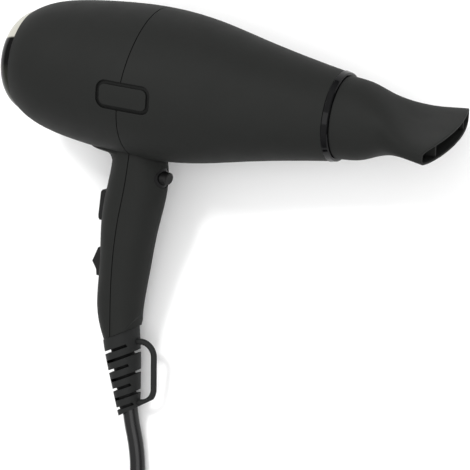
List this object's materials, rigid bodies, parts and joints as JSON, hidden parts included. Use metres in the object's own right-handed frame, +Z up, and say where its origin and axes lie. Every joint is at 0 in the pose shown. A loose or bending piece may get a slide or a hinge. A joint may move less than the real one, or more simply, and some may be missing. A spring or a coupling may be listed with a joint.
{
  "type": "hair dryer",
  "caption": "Hand-held hair dryer with flat concentrator nozzle, rear rocker switches, cool-shot button, cord boot with hanging loop, coiled mains cord and plug.",
  "frame": {"origin": "middle of the underside of the dryer lying on its right side, cord and plug left out", "axes": "+X along the barrel towards the air outlet, +Z up, -Y along the handle towards the cord"},
  "size_m": [0.2726, 0.3892, 0.086],
  "materials": {
    "soft_black": "charcoal soft-touch moulded plastic, fine matte grain",
    "gloss_black": "polished piano black plastic",
    "bright_ring": "bright plated ring",
    "grille_black": "black nylon grid",
    "mesh_steel": "fine stainless screen",
    "duct_plastic": "natural heat-resistant nylon",
    "fan_plastic": "glass-filled nylon fan",
    "motor_steel": "zinc-plated drawn steel",
    "motor_plastic": "ivory nylon end cap",
    "magnet": "sintered ferrite",
    "copper": "lacquered copper windings and carbon brushes",
    "shaft_steel": "ground steel shaft",
    "bronze": "sintered bronze bush",
    "rubber_grey": "soft grey rubber",
    "board_green": "circuit board with black diodes",
    "mica": "pressed mica sheet",
    "nichrome": "drawn resistance wire",
    "ceramic": "white ceramic and tinned tabs",
    "switch_red": "black switch body",
    "button_soft": "charcoal moulded button",
    "spring_steel": "spring wire",
    "cap_yellow": "yellow film capacitor",
    "boot_rubber": "matte black rubber",
    "screw_steel": "zinc-plated screws",
    "wire_insulation": "silicone-insulated leads",
    "cord_black": "glossy black PVC sheath",
    "tie_black": "black strap",
    "plug_black": "moulded black PVC plug",
    "pin_nickel": "nickel-plated brass pins"
  },
  "bodies": {
    "casing": {"front_housing": "soft_black", "rear_housing": "soft_black", "badge_left": "soft_black", "badge_right": "soft_black", "front_trim_ring": "gloss_black", "fan_duct": "duct_plastic", "motor_can": "motor_steel", "motor_end_cap": "motor_plastic", "motor_magnets": "magnet", "motor_brushes": "copper", "bearing_front": "bronze", "bearing_rear": "bronze", "rubber_sleeve": "rubber_grey", "rectifier_board": "board_green", "heat_tube": "mica", "heater_cross": "mica", "heating_coil": "nichrome", "thermostat": "ceramic", "thermal_fuse": "ceramic", "outlet_grille": "grille_black", "speed_switch": "switch_red", "heat_switch": "switch_red", "cool_bezel": "gloss_black", "cool_spring": "spring_steel", "cool_switch": "switch_red", "capacitor": "cap_yellow", "cord_boot": "boot_rubber", "cord_clamp": "motor_plastic", "clamp_screws": "screw_steel", "housing_screws": "screw_steel", "lead_wires": "wire_insulation", "cord": "cord_black", "cord_tail": "cord_black", "cord_coil": "cord_black", "cord_tie": "tie_black", "plug_body": "plug_black", "plug_pins": "pin_nickel"},
    "rotor": {"motor_shaft": "shaft_steel", "impeller": "fan_plastic", "armature": "copper"},
    "speed_rocker_body": {"speed_rocker": "button_soft"},
    "heat_rocker_body": {"heat_rocker": "button_soft"},
    "cool_button_body": {"cool_button": "button_soft"},
    "nozzle_clip": {"nozzle_snap_ring": "spring_steel"},
    "nozzle_body": {"nozzle_upper": "soft_black", "nozzle_lower": "soft_black"},
    "rear_cover": {"rear_trim_ring": "bright_ring", "rear_grille": "grille_black", "filter_mesh": "mesh_steel"}
  },
  "joints": [
    {"name": "fan_spin", "type": "hinge", "parent": "casing", "child": "rotor", "pos_m": [-0.0924, 0.07465, 0.043], "axis": [1, 0, 0], "continuous": true},
    {"name": "speed_rocker_tilt", "type": "hinge", "parent": "casing", "child": "speed_rocker_body", "pos_m": [-0.0607, 0.00189, 0.02951], "axis": [0, 0.1822, -0.9833], "range_deg": [-7, 7]},
    {"name": "heat_rocker_tilt", "type": "hinge", "parent": "casing", "child": "heat_rocker_body", "pos_m": [-0.0607, -0.03055, 0.0235], "axis": [0, 0.1822, -0.9833], "range_deg": [-7, 7]},
    {"name": "cool_button_press", "type": "slide", "parent": "casing", "child": "cool_button_body", "axis": [-1, 0, 0], "range_m": [0, 0.0025], "stiffness_N_per_m": 800, "springref_m": -0.002},
    {"name": "nozzle_turn", "type": "hinge", "parent": "casing", "child": "nozzle_clip", "pos_m": [0.0746, 0.07465, 0.043], "axis": [1, 0, 0], "continuous": true},
    {"name": "nozzle_pull", "type": "slide", "parent": "nozzle_clip", "child": "nozzle_body", "axis": [1, 0, 0], "range_m": [0, 0.03]},
    {"name": "rear_cover_pull", "type": "slide", "parent": "casing", "child": "rear_cover", "axis": [-1, 0, 0], "range_m": [0, 0.02]}
  ]
}
